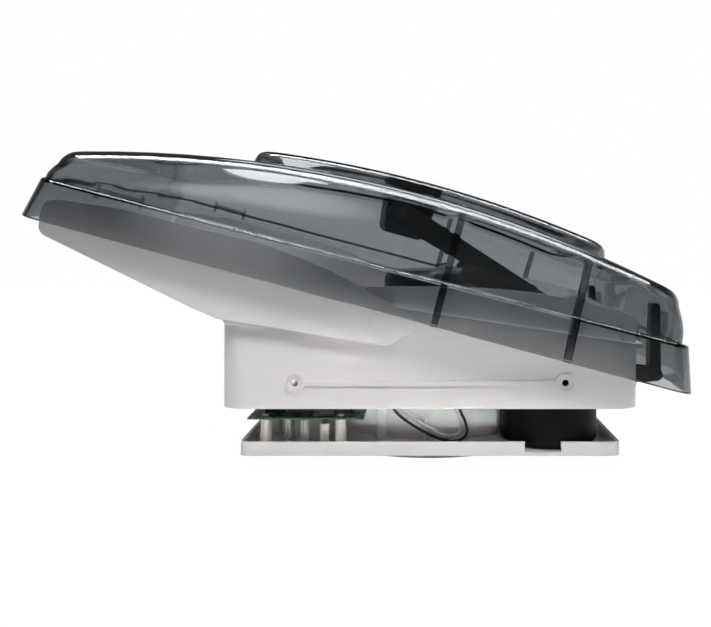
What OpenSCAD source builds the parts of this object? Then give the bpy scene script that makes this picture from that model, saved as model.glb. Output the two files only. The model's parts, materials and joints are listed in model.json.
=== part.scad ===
// Powered roof vent for a caravan, in millimetres. The front is -X, the lid hinges at the rear, +Z is up.
// The origin is the centre of the base housing's lower rim. The lid is drawn fully open.

/* [Base housing] */
// Width of the square base housing
base_w = 358; // [352:1:364]
// Wall thickness of the base housing
base_wall = 3; // [2:0.5:4]
// Radius of the base housing's upright corners
base_corner_r = 20; // [14:1:24]
// Height of the front wall
base_front_h = 77; // [70:1:80]
// Height of the side walls at their crown
base_crown_h = 104; // [100:1:108]
// Height of the rear wall
base_rear_h = 76; // [70:1:80]
// Place of the side walls' crown along X
base_crown_x = -35; // [-60:1:0]
// Height of the deck's underside
deck_z = 40; // [36:1:44]
// Thickness of the deck
deck_t = 3; // [2:0.5:4]
// Radius of the fastening holes in the side walls
side_hole_r = 3; // [2:0.1:3.5]
// Distance between the two fastening holes of a side
side_hole_pitch = 230; // [200:1:260]
// Height of the fastening holes
side_hole_z = 22; // [18:1:26]

/* [Lid] */
// Angle of the open lid
lid_angle = 15; // [10:0.5:16]
// Length of the lid in front of the base housing
lid_front_reach = 184; // [180:1:190]
// Distance of the lid's hinge behind the base housing
hinge_back = 21; // [19:0.5:24]
// Height of the lid's hinge
hinge_z = 25; // [22:0.5:30]
// Reach of the lid's rim behind the hinge
lid_rear_reach = 23; // [20:0.5:26]
// Overhang of the lid's rim at each side of the base housing
lid_side_reach = 30.5; // [29:0.5:34]
// Drop of the rim below the hinge
rim_drop = 4.8; // [3:0.1:6]
// Wall thickness of the lid
lid_wall = 3; // [2.4:0.1:3.6]
// Height of the skirt at the front
skirt_front_h = 34; // [30:1:36]
// Height of the skirt at the rear
skirt_rear_h = 38; // [36:1:42]
// Width of the ledge above the skirt
ledge_w = 5.5; // [4:0.5:6.5]
// Height of the lid's crest above the rim
crest_h = 103; // [101:0.5:110]
// Radius of the arch along the lid
arch_r = 1073; // [1040:1:1200]
// Distance of the crest in front of the hinge
crest_back = 240; // [220:1:260]
// Radius of the lid's upper edge
lid_edge_r = 16; // [12:0.5:18]
// Height of the raised panel on top of the lid
panel_h = 12; // [9:0.5:13]

/* [Rain shield] */
// Thickness of the shield's sheets
shield_t = 3; // [2.4:0.1:3.4]
// Gap between the base housing and the shield's side plates
shield_gap = 7; // [6.6:0.1:8]
// Reach of the shield in front of the base housing
shield_reach = 150; // [140:1:152]
// Radius of the shield's pivot studs
stud_r = 4; // [3:0.1:5]
// Place of the shield's pivot along X
shield_pivot_x = -43; // [-50:0.5:-36]
// Height of the shield's pivot
shield_pivot_z = 74.6; // [72:0.2:78]

/* [Fan] */
// Radius inside the fan's duct
duct_r = 118.5; // [114:0.5:120]
// Wall thickness of the ducts
duct_wall = 2.5; // [2:0.1:3]
// Height of the fan shroud above the deck
shroud_h = 23; // [21:0.5:24]
// Number of fan blades
blade_count = 10; // [6:1:12]
// Pitch of the fan blades
blade_pitch = 24; // [16:1:26]
// Radius of the motor's can
motor_r = 50; // [42:0.5:51]
// Height of the motor's can
motor_h = 41; // [34:0.5:43]

/* [Lift] */
// Radius of the lift drum
drum_r = 44; // [40:0.5:45]
// Radius of the lift shaft
lift_shaft_r = 5; // [4:0.1:5.5]
// Distance of the lift arms from the middle
arm_y = 60; // [58:0.5:64]
// Thickness of a lift arm
arm_t = 8; // [6:0.5:9]
// Radius of a lift arm's upper end
arm_tip_r = 12; // [9:0.5:12.5]
// Radius of the rollers on the lift arms
roller_r = 5; // [4:0.1:6]

/* [Ceiling panel] */
// Width of the square ceiling panel
panel_w = 330; // [326:1:334]
// Gap between the base housing and the ceiling panel's wall
roof_gap = 31.5; // [30:0.5:34]
// Height of the ceiling panel's wall
tray_h = 12; // [10:0.5:14]
// Thickness of the ceiling panel
tray_t = 3; // [2.4:0.1:3.6]
// Depth of the screen frame under the ceiling panel
screen_depth = 15; // [12:0.5:18]
// Height of the circuit board above the panel's floor
board_lift = 26.7; // [25:0.1:28]
// Radius of the push buttons
button_r = 4.3; // [3.5:0.1:5]
// Travel of the push buttons
button_travel = 1.2; // [0.8:0.1:1.5]

/* [Clearances] */
// Radial clearance of running fits
running_fit = 0.05; // [0.03:0.01:0.1]
// Gap between loose pieces
loose_gap = 1; // [0.6:0.1:1.4]

/* [Hidden] */
$fn = 64;

white = "whitesmoke";
black = "#161617";
steel = "silver";

base_half = base_w / 2;
deck_top = deck_z + deck_t;
shroud_top = deck_top + shroud_h;
base_inner = base_half - base_wall;

// Places on the lid are u along it from the hinge, v across it and n square to it
hinge_x = base_half + hinge_back;
lid_half = base_half + lid_side_reach;
lid_front_u = -(hinge_x + base_half + lid_front_reach);
skirt_draft_side = 6.2;
skirt_draft_front = 6.5;
skirt_draft_rear = 11.4;
wall_draft_side = 7.5;
wall_draft_front = 1.5;
wall_draft_rear = 6;
lid_corner_r = 20;
lid_bow_front = 6;
lid_bow_rear = 4;
lid_crown = 3;
top_panel_front_u = -402;
top_panel_rear_u = -62;
top_panel_half = 150;
top_panel_corner_r = 24;
top_panel_slope = 3;
side_rib_u = [-203, -90];
side_rib_w = 6;
side_rib_depth = 6;

// Hinge of the lid
post_y = 140;
post_w = 14;
knuckle_r = 5.4;
hinge_pin_r = 3;
ear_t = 3.7;
ear_gap = 0.3;
ear_root = 7.5;
post_top_u = -16;
post_top_n = 60;
post_top_w = 8;
web_t = 3;
web_low_n = 32;
web_high_n = 55;

// Rain shield
shield_in = base_half + shield_gap;
shield_out = shield_in + shield_t;
shield_corner_r = 9;
stud_head_r = 6;
stud_head_t = 2;
stud_collar_r = 8;

// Lift: a drum in the ceiling panel's corner turns a shaft whose two arms push the lid up
drum_x = 109;
drum_y = -117.5;
drum_edge_r = 7;
pocket_gap = 3;
lift_x = 118;
lift_z = deck_top + 35;
arm_root_r = 7.5;
track_u = -257.8;
track_n = 81;
track_t = 4;
track_in = arm_y - arm_t / 2 - 10;
track_play = 1;
track_top_n = 95;
gusset_t = 3;
gearbox_y = 37.5;
gearbox_half_x = 22;
gearbox_h = 49;
bearing_y = 100;
bearing_t = 12;

// Fan and motor
bridge_t = 5;
bridge_arm_w = 12;
bridge_cup_r = motor_r + 4;
motor_edge_r = 9;
motor_shaft_r = 4;
hub_r = 38;
hub_h = 14;
fan_gap = 4;
fan_top = shroud_top - 6;
blade_t = 2.2;
blade_root_w = 26;
blade_tip_w = 40;

// Ceiling panel
tray_top = -roof_gap;
tray_bottom = tray_top - tray_h;
tray_floor = tray_bottom + tray_t;
tray_half = panel_w / 2;
tray_corner_r = 6;
notch_w = 31.5;
notch_x = 98;
collar_r = duct_r - loose_gap;
collar_overlap = 7;
duct_bottom = -17;
column_r = 5;
column_ring = duct_r + duct_wall + column_r + loose_gap;
column_angle = 249.4;
column_flange_r = 8;
screen_r = collar_r + 1;
screen_rim = 8;
mesh_t = 1;
mesh_pitch = 17;
mesh_bar = 1.6;
screw_r = 1.8;
screw_head_r = 4;
screw_head_t = 2.2;
screw_reach = 25;

// Circuit board
board_t = 1.6;
board_z = tray_floor + board_lift;
board_top = board_z + board_t;
board_left = -160;
board_right = -58;
board_near = -157;
board_far = -70;
board_ring_r = duct_r + duct_wall + 5;
board_posts = [[-145, -148], [-78.6, -150], [-152, -82]];
board_post_r = 5;
board_screw_r = 1.5;
button_ring = 172;
button_angles = [237, 229, 221, 213];
button_proud = 2;
button_flange_r = button_r + 1.7;
button_flange_t = 1.5;
button_slack = 0.3;
switch_h = 4;
switch_w = 6;
relay_at = [-128, -138];
relay_size = [22, 14, 7];
plug_at = [-98, -152];
plug_size = [14, 9, 9];
coil_at = [-150, -128];
coil_size = [12, 18, 12];
can_at = [[-138, -100], [-134, -116]];
can_r = [5, 4];
can_h = [14, 11];
lamp_at = [-126, -146];
lamp_r = 2.8;
guide_pin_at = [-5, -125];
guide_pin_r = 2.3;

// Routes of the wires, from the deck down into the gap and back, and from the board up to the deck
wire_r = 1.3;
black_route = [
    [-40, -140, deck_z], [-39, -140, 20], [-36, -140, 0], [-29, -140, -12], [-16, -140, -22],
    [0, -140, -31], [14, -140, -36], [26, -140, -36], [33, -140, -30], [32, -140, -20],
    [27, -140, -8], [24, -140, 10], [24, -140, deck_z]
];
white_route = [
    [-36, -135, deck_z], [-35, -135, 20], [-32, -135, 2], [-25, -135, -9], [-12, -135, -19],
    [2, -135, -27], [14, -135, -32], [24, -135, -32], [28, -135, -27], [27, -135, -18],
    [22, -135, -6], [19, -135, 10], [19, -135, deck_z]
];
board_route = [
    [-70, -140, board_top], [-70, -140, -5], [-66, -140, 3], [-58, -140, 9], [-52, -140, 18],
    [-50, -140, 28], [-50, -140, deck_z]
];

// Height of the side wall's arched top edge at x
function base_top(x) = x < base_crown_x
    ? base_crown_h - (base_crown_h - base_front_h) * pow((x - base_crown_x) / (base_half + base_crown_x), 2)
    : base_crown_h - (base_crown_h - base_rear_h) * pow((x - base_crown_x) / (base_half - base_crown_x), 3);

// Heights of the lid above its rim
function skirt_h(u) = skirt_rear_h
    + (skirt_front_h - skirt_rear_h) * (u - lid_rear_reach) / (lid_front_u - lid_rear_reach);
function arch_h(u) = crest_h - arch_r + sqrt(arch_r * arch_r - pow(u + crest_back, 2));
function crown_h(v) = lid_crown * (1 - pow(v / lid_half, 2));

// An outline with rounded corners, from points that each hold x, y and a corner radius
function turn(a, b, c) = let (p = a - b, q = c - b) acos(p * q / (norm(p) * norm(q)));
function fillet(a, b, c, r, steps) = let (
    p = (a - b) / norm(a - b),
    q = (c - b) / norm(c - b),
    half = turn(a, b, c) / 2,
    centre = b + (p + q) / norm(p + q) * r / sin(half),
    start = b + p * r / tan(half) - centre,
    end = b + q * r / tan(half) - centre,
    sweep = 180 - 2 * half,
    side = sign(start.x * end.y - start.y * end.x)
) [for (i = [0:steps]) let (t = side * sweep * i / steps)
    centre + [start.x * cos(t) - start.y * sin(t), start.x * sin(t) + start.y * cos(t)]];
function rounded_outline(pts, steps = 6) = [
    for (i = [0:len(pts) - 1]) let (
        a = pts[(i + len(pts) - 1) % len(pts)],
        b = pts[i],
        c = pts[(i + 1) % len(pts)]
    ) each (b[2] > 0 ? fillet([a.x, a.y], [b.x, b.y], [c.x, c.y], b[2], steps) : [[b.x, b.y]])
];

// One ring of the lid: half an outline from the rear middle to the front middle, then its mirror image
end_steps = 4;
corner_steps = 5;
side_steps = 18;
function bow(v, half, depth) = depth * pow(v / half, 2);
function half_ring(front, rear, half, r, bow_front, bow_rear) = concat(
    [for (i = [0:end_steps - 1]) let (v = (half - r) * i / end_steps) [rear - bow(v, half, bow_rear), v]],
    [for (i = [0:corner_steps]) let (t = 90 * i / corner_steps, v = half - r + r * sin(t))
        [rear - bow(v, half, bow_rear) - r + r * cos(t), v]],
    [for (i = [1:side_steps - 1]) let (
        from = rear - bow_rear - r,
        to = front + bow_front + r
    ) [from + (to - from) * i / side_steps, half]],
    [for (i = [0:corner_steps]) let (t = 90 * i / corner_steps, v = half - r + r * cos(t))
        [front + bow(v, half, bow_front) + r - r * sin(t), v]],
    [for (i = [1:end_steps]) let (v = (half - r) * (1 - i / end_steps)) [front + bow(v, half, bow_front), v]]
);
ring_last = 2 * end_steps + 2 * corner_steps + side_steps;
function whole_ring(half_points) = concat(
    [for (p = half_points) [p.x, -p.y]],
    [for (i = [ring_last - 1:-1:1]) half_points[i]]
);

// The lid's rings from the rim to the top panel: front, rear, half width, corner radius, height kind and offset
RIM = 0;
SKIRT = 1;
WALL = 2;
ARCH = 3;
ledge_rise = 1;
ledge_front_w = 2.5;
end_round = 0.6;
wall_cuts = 3;
edge_cuts = 4;
edge_start = 18;
edge_drop = lid_edge_r * (1 - sin(edge_start));
function grown(shape, by) = [shape[0] - by, shape[1] + by, shape[2] + by, shape[3] + by];
function between(a, b, t) = [for (i = [0:3]) a[i] + (b[i] - a[i]) * t];
skirt_top_shape = [
    lid_front_u + skirt_draft_front, lid_rear_reach - skirt_draft_rear,
    lid_half - skirt_draft_side, lid_corner_r - 4
];
ledge_shape = [
    skirt_top_shape[0] + ledge_front_w, skirt_top_shape[1] - ledge_w,
    skirt_top_shape[2] - ledge_w, skirt_top_shape[3] - ledge_w
];
function wall_shape(t, inset = 0, edge = 0) = let (bend = t * t, end = inset + edge * end_round) [
    ledge_shape[0] + wall_draft_front * bend + end, ledge_shape[1] - wall_draft_rear * bend - end,
    ledge_shape[2] - wall_draft_side * bend - inset - edge,
    max(ledge_shape[3] + 6 * bend - (inset + edge) * 0.5, 6)
];
top_panel_shape = [top_panel_front_u, top_panel_rear_u, top_panel_half, top_panel_corner_r];
top_panel_inner = [
    top_panel_front_u + top_panel_slope, top_panel_rear_u - top_panel_slope,
    top_panel_half - top_panel_slope, top_panel_corner_r - top_panel_slope
];
top_shape = wall_shape(1, 0, lid_edge_r * cos(edge_start));
function lid_levels(wall) = let (r = lid_edge_r - wall) concat(
    [
        [[lid_front_u + wall, lid_rear_reach - wall, lid_half - wall, lid_corner_r - wall], RIM, 0],
        [grown(skirt_top_shape, -wall), SKIRT, -wall],
        [grown(ledge_shape, -wall), SKIRT, ledge_rise - wall]
    ],
    [for (i = [1:wall_cuts - 1]) [wall_shape(i / wall_cuts, wall), WALL, i / wall_cuts]],
    [for (i = [0:edge_cuts]) let (a = edge_start + (90 - edge_start) * i / edge_cuts)
        [wall_shape(1, wall, r * (cos(edge_start) - cos(a))), ARCH, -wall - r * (1 - sin(a))]],
    [for (i = [1:2]) [between(top_shape, top_panel_shape, i / 3), ARCH, -wall]],
    [[grown(top_panel_shape, -wall), ARCH, -wall], [grown(top_panel_inner, -wall), ARCH, panel_h - wall]]
);
outer_levels = lid_levels(0);
inner_levels = lid_levels(lid_wall);
function level_h(kind, offset, u, v) = kind == RIM ? offset
    : kind == SKIRT ? skirt_h(u) + offset
    : kind == ARCH ? arch_h(u) + crown_h(v) + offset
    : (skirt_h(u) + ledge_rise) * (1 - offset) + (arch_h(u) + crown_h(v) - edge_drop) * offset;
function level_points(level) = let (s = level[0])
    [for (p = whole_ring(half_ring(s[0], s[1], s[2], s[3], lid_bow_front, lid_bow_rear)))
        [p.x, p.y, level_h(level[1], level[2], p.x, p.y) - rim_drop]];
ring_n = 2 * ring_last;
function band(a, b) = [for (i = [0:ring_n - 1]) let (j = (i + 1) % ring_n)
    each [[a + i, a + j, b + i], [a + j, b + j, b + i]]];
function flipped(faces) = [for (f = faces) [f[2], f[1], f[0]]];
function cap(a) = [for (i = [0:ring_last - 1]) let (
        near = a + i,
        near_next = a + i + 1,
        far = a + (ring_n - i) % ring_n,
        far_next = a + ring_n - i - 1
    ) each i == 0 ? [[near, near_next, far_next]]
        : i == ring_last - 1 ? [[near, near_next, far]]
        : [[near, near_next, far], [near_next, far_next, far]]];
level_count = len(outer_levels);
lid_points = concat(
    [for (level = outer_levels) each level_points(level)],
    [for (level = inner_levels) each level_points(level)]
);
inner_start = level_count * ring_n;
lid_faces = concat(
    [for (k = [0:level_count - 2]) each band(k * ring_n, (k + 1) * ring_n)],
    cap((level_count - 1) * ring_n),
    flipped([for (k = [0:level_count - 2]) each band(inner_start + k * ring_n, inner_start + (k + 1) * ring_n)]),
    flipped(cap(inner_start + (level_count - 1) * ring_n)),
    flipped(band(0, inner_start))
);

// Where the open lid holds the arms' rollers, and the arm's slope there
tip_x = hinge_x + track_u * cos(lid_angle) + track_n * sin(lid_angle);
tip_z = hinge_z - track_u * sin(lid_angle) + track_n * cos(lid_angle);
arm_length = norm([tip_x - lift_x, tip_z - lift_z]);
arm_slope = atan2(tip_z - lift_z, lift_x - tip_x);

// Small shapes that repeat
module tube(r_out, r_in, h) {
    difference() {
        cylinder(r = r_out, h = h);
        translate([0, 0, -1]) cylinder(r = r_in, h = h + 2);
    }
}
module rounded_square(w, r) {
    square([w, w - 2 * r], center = true);
    square([w - 2 * r, w], center = true);
    for (sx = [-1, 1], sy = [-1, 1]) translate([sx * (w / 2 - r), sy * (w / 2 - r)]) circle(r = r);
}
module along_y(y0, y1) {
    translate([0, y1, 0]) rotate([90, 0, 0]) linear_extrude(y1 - y0) children();
}
module pin_y(r, y0, y1) {
    along_y(y0, y1) circle(r = r);
}
module both_sides() {
    children();
    mirror([0, 1, 0]) children();
}
module on_lid() {
    translate([hinge_x, 0, hinge_z]) rotate([0, lid_angle, 0]) children();
}
module around(angles, r) {
    for (a = angles) rotate([0, 0, a]) translate([r, 0, 0]) children();
}

// A duct round the fan's axis, dented where the lift drum stands
module dented_duct(r_in, r_pocket, h) {
    difference() {
        tube(r_in + duct_wall, r_in, h);
        translate([drum_x, drum_y, -1]) cylinder(r = r_pocket, h = h + 2);
    }
    intersection() {
        translate([drum_x, drum_y, 0]) tube(r_pocket + duct_wall, r_pocket, h);
        cylinder(r = r_in + duct_wall, h = h);
    }
}
pocket_r = drum_r + pocket_gap;
collar_pocket_r = pocket_r + duct_wall + loose_gap;

// Base housing: arched side walls, deck, gutter lip, beads and bosses
rail_front_x = -32;
rail_front_z = 83;
rail_rear_z = 50;
rail_proud = 6;
rail_t = 4;
rail_scoop_h = 18;
rail_scoop_end_x = base_half - base_corner_r + 4;
bead_h = 4;
bead_proud = 1.8;
boss_r = 8.6;
boss_hollow_r = 6.4;
boss_hollow = 1.2;
rail_run = base_half + rail_proud - rail_front_x;
rail_slope = atan2(rail_front_z - rail_rear_z, rail_run);
wall_steps = 24;
module side_outline() polygon(concat(
    [[-base_half, 0], [base_half, 0]],
    [for (i = [0:wall_steps]) let (x = base_half - base_w * i / wall_steps) [x, base_top(x)]]
));
module on_rail() translate([rail_front_x, 0, rail_front_z]) rotate([0, rail_slope, 0]) children();
module rail_lip() intersection() {
    linear_extrude(base_crown_h) difference() {
        rounded_square(base_w + 2 * rail_proud, base_corner_r + rail_proud);
        rounded_square(base_w - 1, base_corner_r - 0.5);
    }
    on_rail() along_y(-base_w, base_w) polygon(rounded_outline([
        [0, 0, 0], [rail_run * 2, 0, 0], [rail_run * 2, rail_t, 0], [0, rail_t, 1.5]
    ]));
}
module rail_scoop() intersection() {
    on_rail() translate([0, base_half, rail_t]) rotate([90, 0, 90]) linear_extrude(rail_run) polygon(concat(
        [[-1, -1], [rail_proud - 1.5, -1]],
        [for (i = [0:8]) let (a = 90 * i / 8)
            [(rail_proud - 1.5) * (1 - sin(a)), rail_scoop_h * (1 - cos(a))]],
        [[-1, rail_scoop_h]]
    ));
    along_y(0, base_w) intersection() {
        side_outline();
        polygon([
            [rail_front_x, 0], [rail_scoop_end_x + rail_scoop_h, 0],
            [rail_scoop_end_x - rail_scoop_h, base_crown_h], [rail_front_x, base_crown_h]
        ]);
    }
}
module side_boss() rotate([-90, 0, 0]) difference() {
    cylinder(r = boss_r, h = bead_proud);
    translate([0, 0, bead_proud - boss_hollow]) cylinder(r = boss_hollow_r, h = boss_hollow + 1);
}
module base_housing() color(white) {
    difference() {
        union() {
            difference() {
                intersection() {
                    along_y(-base_half, base_half) side_outline();
                    linear_extrude(base_crown_h) rounded_square(base_w, base_corner_r);
                }
                translate([0, 0, -1]) linear_extrude(base_crown_h + 2)
                    rounded_square(2 * base_inner, base_corner_r - base_wall);
            }
            translate([0, 0, deck_z]) linear_extrude(deck_t) difference() {
                rounded_square(2 * base_inner + base_wall, base_corner_r - base_wall);
                circle(r = duct_r);
            }
            rail_lip();
            both_sides() {
                rail_scoop();
                translate([0, base_half, side_hole_z]) rotate([-90, 0, 0]) linear_extrude(bead_proud)
                    square([side_hole_pitch - 2 * boss_r + 2, bead_h], center = true);
                for (s = [-1, 1]) translate([s * side_hole_pitch / 2, base_half, side_hole_z]) side_boss();
            }
        }
        for (s = [-1, 1]) translate([s * side_hole_pitch / 2, 0, side_hole_z])
            pin_y(side_hole_r, -base_w, base_w);
    }
}

// Ducts: the base housing's own duct reaches down over the ceiling panel's collar
module duct_ring() color(white) translate([0, 0, duct_bottom])
    dented_duct(duct_r, pocket_r, deck_z - duct_bottom);

// Fan shroud with its row of slots and four pads for the motor bridge
slot_count = 12;
slot_w = 16;
slot_h = 8;
module fan_shroud() color(white) translate([0, 0, deck_top]) difference() {
    union() {
        tube(duct_r + duct_wall, duct_r, shroud_h);
        tube(duct_r + 2 * duct_wall, duct_r, duct_wall);
    }
    around([for (i = [0:slot_count - 1]) 15 + 360 * i / slot_count], duct_r)
        translate([0, 0, shroud_h / 2 + duct_wall]) cube([4 * duct_wall, slot_w, slot_h], center = true);
}

// Bridge that carries the motor over the fan
module motor_bridge() color(black) translate([0, 0, shroud_top]) difference() {
    union() {
        cylinder(r = bridge_cup_r, h = bridge_t);
        for (a = [0, 90]) rotate([0, 0, a]) translate([0, 0, bridge_t / 2])
            cube([2 * (duct_r + duct_wall) - 2, bridge_arm_w, bridge_t], center = true);
    }
    translate([0, 0, -1]) cylinder(r = motor_shaft_r + loose_gap, h = bridge_t + 2);
}

motor_z = shroud_top + bridge_t;
shaft_seat = 20;
module fan_motor() color(black) translate([0, 0, motor_z]) difference() {
    rotate_extrude() polygon(rounded_outline([
        [0, 0, 0], [motor_r, 0, 0], [motor_r, motor_h * 0.55, 0], [motor_r - 3, motor_h * 0.55, 0],
        [motor_r - 3, motor_h, motor_edge_r], [0, motor_h, 0]
    ]));
    translate([0, 0, -1]) cylinder(r = motor_shaft_r + running_fit, h = shaft_seat + 1 + running_fit);
}
module motor_shaft() color(steel) translate([0, 0, fan_top - hub_h])
    cylinder(r = motor_shaft_r, h = motor_z + shaft_seat - fan_top + hub_h);

// Fan: a hub with pitched blades
module blade() {
    tip = duct_r - fan_gap;
    rotate([blade_pitch, 0, 0]) translate([0, 0, -blade_t / 2]) linear_extrude(blade_t) polygon([
        [hub_r - 6, -blade_root_w / 2], [tip - 4, -blade_tip_w / 2], [tip - 1, 0],
        [tip - 6, blade_tip_w / 2], [hub_r - 6, blade_root_w / 2]
    ]);
}
module fan() color("#2a2c30") translate([0, 0, fan_top - hub_h]) difference() {
    intersection() {
        union() {
            cylinder(r = hub_r, h = hub_h);
            for (i = [0:blade_count - 1]) rotate([0, 0, 360 * i / blade_count])
                translate([0, 0, hub_h / 2]) blade();
        }
        cylinder(r = duct_r - fan_gap, h = hub_h);
    }
    translate([0, 0, -1]) cylinder(r = motor_shaft_r + 0.02, h = hub_h + 2);
}
module hub_nut() color(steel) translate([0, 0, fan_top - hub_h - 4]) cylinder(r = 7, h = 4, $fn = 6);

// Ceiling panel: a shallow tray with button holes, the duct's collar on it, and its columns and posts
function button_at(i) = [button_ring * cos(button_angles[i]), button_ring * sin(button_angles[i])];
column_angles = [for (i = [0:3]) column_angle + 90 * i];
collar_h = duct_bottom + collar_overlap - tray_floor;
module ceiling_panel() color(white) difference() {
    translate([0, 0, tray_bottom]) difference() {
        linear_extrude(tray_h) rounded_square(panel_w, tray_corner_r);
        translate([0, 0, tray_t]) linear_extrude(tray_h)
            rounded_square(panel_w - 2 * tray_t, tray_corner_r - tray_t);
    }
    translate([0, 0, tray_bottom - 1]) difference() {
        cylinder(r = collar_r - duct_wall, h = tray_t + 2);
        translate([drum_x, drum_y, 0]) cylinder(r = collar_pocket_r + duct_wall, h = tray_t + 2);
    }
    translate([notch_x - notch_w / 2, -tray_half - 1, tray_floor]) cube([notch_w, tray_t + 1.5, tray_h]);
    around(column_angles, column_ring) translate([0, 0, tray_bottom - 1])
        cylinder(r = screw_r + 0.1, h = tray_t + 2);
    for (i = [0:3]) translate([button_at(i).x, button_at(i).y, tray_bottom - 1])
        cylinder(r = button_r + button_slack, h = tray_t + 2);
    translate([lamp_at.x, lamp_at.y, tray_bottom - 1]) cylinder(r = lamp_r + button_slack, h = tray_t + 2);
}
module panel_collar() color(white) translate([0, 0, tray_floor])
    dented_duct(collar_r - duct_wall, collar_pocket_r, collar_h);
module panel_posts() color(white) {
    around(column_angles, column_ring) translate([0, 0, tray_floor]) difference() {
        union() {
            cylinder(r = column_r, h = deck_z - tray_floor);
            cylinder(r = column_flange_r, h = 2);
        }
        translate([0, 0, -1]) cylinder(r = screw_r + 0.1, h = screw_reach + 2);
    }
    for (p = board_posts) translate([p.x, p.y, tray_floor]) difference() {
        cylinder(r1 = board_post_r + 0.6, r2 = board_post_r - 0.6, h = board_lift);
        translate([0, 0, board_lift - 10]) cylinder(r = board_screw_r + 0.1, h = 11);
    }
    translate([guide_pin_at.x, guide_pin_at.y, tray_floor]) cylinder(r = guide_pin_r, h = tray_h + 9);
}

// Insect screen in its round frame under the panel
module screen_frame() color(white) translate([0, 0, tray_bottom - screen_depth]) difference() {
    rotate_extrude() polygon(rounded_outline([
        [screen_r - screen_rim, 0, 0], [screen_r, 0, 4], [screen_r + 3, screen_depth, 0],
        [screen_r - screen_rim, screen_depth, 0]
    ]));
    translate([0, 0, screen_depth / 2]) cylinder(r = screen_r - screen_rim + 3, h = screen_depth);
    around(column_angles, column_ring) translate([0, 0, screen_depth - screw_head_t - 1])
        cylinder(r = screw_head_r + 1, h = screw_head_t + 2);
}
module screen_mesh() color("dimgray") translate([0, 0, tray_bottom - screen_depth / 2]) linear_extrude(mesh_t)
    difference() {
        circle(r = screen_r - screen_rim + 3);
        intersection() {
            circle(r = screen_r - screen_rim - 1);
            for (i = [-7:7], j = [-7:7]) translate([i * mesh_pitch, j * mesh_pitch])
                square(mesh_pitch - mesh_bar, center = true);
        }
    }

// Circuit board, what is soldered to it, and its screws
module circuit_board() color("#12401f") translate([0, 0, board_z]) linear_extrude(board_t) difference() {
    translate([board_left, board_near]) square([board_right - board_left, board_far - board_near]);
    circle(r = board_ring_r);
    for (p = board_posts) translate(p) circle(r = board_screw_r + 0.2);
}
module board_parts() color("#101012") translate([0, 0, board_top]) {
    translate(relay_at) cube(relay_size);
    translate(plug_at) cube(plug_size);
    translate(coil_at) cube(coil_size);
    for (i = [0:len(can_at) - 1]) translate(can_at[i]) cylinder(r = can_r[i], h = can_h[i]);
}
module board_screws() color(steel) for (p = board_posts) translate([p.x, p.y, board_top]) {
    cylinder(r = 2 * board_screw_r, h = 2);
    translate([0, 0, -9]) cylinder(r = board_screw_r, h = 9);
}
module tact_switches() color("#101012") for (i = [0:3])
    translate([button_at(i).x - switch_w / 2, button_at(i).y - switch_w / 2, board_z - switch_h])
        cube([switch_w, switch_w, switch_h]);
module signal_lamp() color(steel) translate([lamp_at.x, lamp_at.y, 0]) {
    for (s = [-1, 1]) translate([s * 1.3, 0, tray_floor + 6]) cylinder(r = 0.5, h = board_z - tray_floor - 6);
    translate([0, 0, tray_floor + 2.5]) cylinder(r = lamp_r, h = 4);
    translate([0, 0, tray_floor - 1]) cylinder(r = lamp_r - 0.3, h = 4);
}
module panel_screws() color(steel) around(column_angles, column_ring) {
    translate([0, 0, tray_bottom - screw_head_t]) cylinder(r = screw_head_r, h = screw_head_t);
    translate([0, 0, tray_bottom]) cylinder(r = screw_r, h = tray_t + screw_reach);
}

// Push buttons, free to move up by their travel before the switches stop them
module button(i) color(white) translate([button_at(i).x, button_at(i).y, tray_bottom - button_proud]) {
    cylinder(r = button_r, h = board_z - switch_h - button_travel - button_slack - tray_bottom + button_proud);
    translate([0, 0, button_proud + tray_t + 0.2]) cylinder(r = button_flange_r, h = button_flange_t);
}
module power_button() button(0);
module speed_button() button(1);
module direction_button() button(2);
module lid_button() button(3);

// Wires, each swept along a smooth curve through its route's points
wire_sides = 8;
wire_cuts = 4;
function spline_at(p, i, t) = let (
    a = p[max(i - 1, 0)],
    b = p[i],
    c = p[i + 1],
    d = p[min(i + 2, len(p) - 1)]
) 0.5 * (2 * b + (c - a) * t + (2 * a - 5 * b + 4 * c - d) * t * t + (3 * b - a - 3 * c + d) * t * t * t);
function spline(p) = concat(
    [for (i = [0:len(p) - 2], k = [0:wire_cuts - 1]) spline_at(p, i, k / wire_cuts)],
    [p[len(p) - 1]]
);
function tangent(p, i) = let (d = p[min(i + 1, len(p) - 1)] - p[max(i - 1, 0)]) d / norm(d);
function wire_ring(p, i) = let (
    last = len(p) - 1,
    t = i == 0 || i == last ? [0, 0, i == 0 ? p[1].z - p[0].z : p[last].z - p[last - 1].z] : tangent(p, i),
    w = t / norm(t),
    side = cross(w, [0, 1, 0])
) [for (k = [0:wire_sides - 1]) let (a = 360 * k / wire_sides)
    p[i] + wire_r * (cos(a) * [0, 1, 0] + sin(a) * side)];
module wire(route) {
    path = spline(route);
    n = len(path);
    polyhedron(
        [for (i = [0:n - 1]) each wire_ring(path, i)],
        concat(
            [[for (k = [0:wire_sides - 1]) k]],
            [for (i = [0:n - 2], k = [0:wire_sides - 1]) let (
                a = i * wire_sides + k,
                b = i * wire_sides + (k + 1) % wire_sides
            ) each [[a, a + wire_sides, b], [b, a + wire_sides, b + wire_sides]]],
            [[for (k = [wire_sides - 1:-1:0]) (n - 1) * wire_sides + k]]
        )
    );
}
module black_wire() color("#141414") wire(black_route);
module white_wire() color("ghostwhite") wire(white_route);
module board_lead() color("#141414") wire(board_route);

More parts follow.
